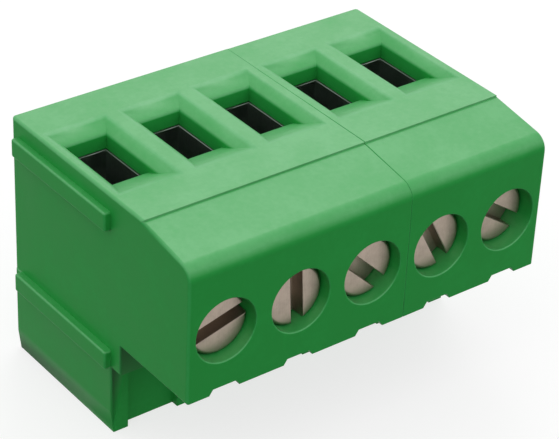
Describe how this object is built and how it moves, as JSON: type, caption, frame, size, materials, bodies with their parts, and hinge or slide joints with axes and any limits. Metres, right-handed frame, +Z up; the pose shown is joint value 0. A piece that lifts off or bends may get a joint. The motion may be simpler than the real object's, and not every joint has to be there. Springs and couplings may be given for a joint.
{
  "type": "pluggable screw terminal",
  "caption": "Green plug half of a PCB screw terminal: funnel wire entries on top, slotted clamp screws in front, rising cages and forked contacts inside.",
  "frame": {"origin": "centre of the bounding box at the mating face, which the plug stands on", "axes": "+X along the row of poles, +Y from the screw face to the rear face, +Z up out of the wire entries"},
  "size_m": [0.0258, 0.0178, 0.0162],
  "materials": {
    "housing_plastic": "moulded, fine satin",
    "screw_metal": "plated, finely turned",
    "cage_metal": "plated, stamped",
    "contact_metal": "tin plated copper alloy",
    "spring_metal": "stainless strip"
  },
  "bodies": {
    "housing": {"housing_three_pole": "housing_plastic", "housing_two_pole": "housing_plastic", "contact_1": "contact_metal", "contact_2": "contact_metal", "contact_3": "contact_metal", "contact_4": "contact_metal", "contact_5": "contact_metal", "contact_spring_1": "spring_metal", "contact_spring_2": "spring_metal", "contact_spring_3": "spring_metal", "contact_spring_4": "spring_metal", "contact_spring_5": "spring_metal"},
    "screw_1": {"clamp_screw_1": "screw_metal"},
    "cage_1": {"clamp_cage_1": "cage_metal"},
    "screw_2": {"clamp_screw_2": "screw_metal"},
    "cage_2": {"clamp_cage_2": "cage_metal"},
    "screw_3": {"clamp_screw_3": "screw_metal"},
    "cage_3": {"clamp_cage_3": "cage_metal"},
    "screw_4": {"clamp_screw_4": "screw_metal"},
    "cage_4": {"clamp_cage_4": "cage_metal"},
    "screw_5": {"clamp_screw_5": "screw_metal"},
    "cage_5": {"clamp_cage_5": "cage_metal"}
  },
  "joints": [
    {"name": "screw_1_turn", "type": "hinge", "parent": "housing", "child": "screw_1", "pos_m": [-0.00995, -0.00715, 0.0107], "axis": [0, 1, 0], "range_deg": [0, 3200]},
    {"name": "cage_1_lift", "type": "slide", "parent": "housing", "child": "cage_1", "axis": [0, -1, 0], "range_m": [0, 0.004]},
    {"name": "screw_2_turn", "type": "hinge", "parent": "housing", "child": "screw_2", "pos_m": [-0.00487, -0.00715, 0.0107], "axis": [0, 1, 0], "range_deg": [0, 3200]},
    {"name": "cage_2_lift", "type": "slide", "parent": "housing", "child": "cage_2", "axis": [0, -1, 0], "range_m": [0, 0.004]},
    {"name": "screw_3_turn", "type": "hinge", "parent": "housing", "child": "screw_3", "pos_m": [0.00021, -0.00715, 0.0107], "axis": [0, 1, 0], "range_deg": [0, 3200]},
    {"name": "cage_3_lift", "type": "slide", "parent": "housing", "child": "cage_3", "axis": [0, -1, 0], "range_m": [0, 0.004]},
    {"name": "screw_4_turn", "type": "hinge", "parent": "housing", "child": "screw_4", "pos_m": [0.0053, -0.00715, 0.0107], "axis": [0, 1, 0], "range_deg": [0, 3200]},
    {"name": "cage_4_lift", "type": "slide", "parent": "housing", "child": "cage_4", "axis": [0, -1, 0], "range_m": [0, 0.004]},
    {"name": "screw_5_turn", "type": "hinge", "parent": "housing", "child": "screw_5", "pos_m": [0.01038, -0.00715, 0.0107], "axis": [0, 1, 0], "range_deg": [0, 3200]},
    {"name": "cage_5_lift", "type": "slide", "parent": "housing", "child": "cage_5", "axis": [0, -1, 0], "range_m": [0, 0.004]}
  ],
  "couplings": [
    {"joint": "screw_1_turn", "follows": "cage_1_lift", "rad_per_m": 13963},
    {"joint": "screw_2_turn", "follows": "cage_2_lift", "rad_per_m": 13963},
    {"joint": "screw_3_turn", "follows": "cage_3_lift", "rad_per_m": 13963},
    {"joint": "screw_4_turn", "follows": "cage_4_lift", "rad_per_m": 13963},
    {"joint": "screw_5_turn", "follows": "cage_5_lift", "rad_per_m": 13963}
  ]
}
